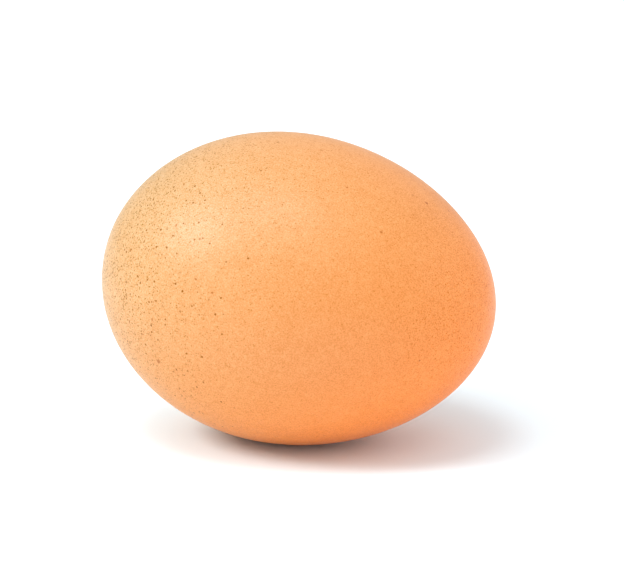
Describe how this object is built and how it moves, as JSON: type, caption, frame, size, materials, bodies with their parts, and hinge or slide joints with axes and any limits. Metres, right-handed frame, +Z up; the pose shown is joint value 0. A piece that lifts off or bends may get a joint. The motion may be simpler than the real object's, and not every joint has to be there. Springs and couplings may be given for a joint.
{
  "type": "hen's egg",
  "caption": "Whole brown hen's egg lying on its side, blunt at one end and more pointed at the other, with a small flat resting spot.",
  "frame": {"origin": "middle of the small flat spot that the egg rests on", "axes": "+Z up, away from the surface the egg lies on; +X along the egg, towards its pointed end, which hangs about 4 degrees below level; +Y across the egg"},
  "size_m": [0.0574, 0.0446, 0.0445],
  "materials": {
    "shell": "satin"
  },
  "bodies": {
    "root": {"egg": "shell"}
  },
  "joints": []
}
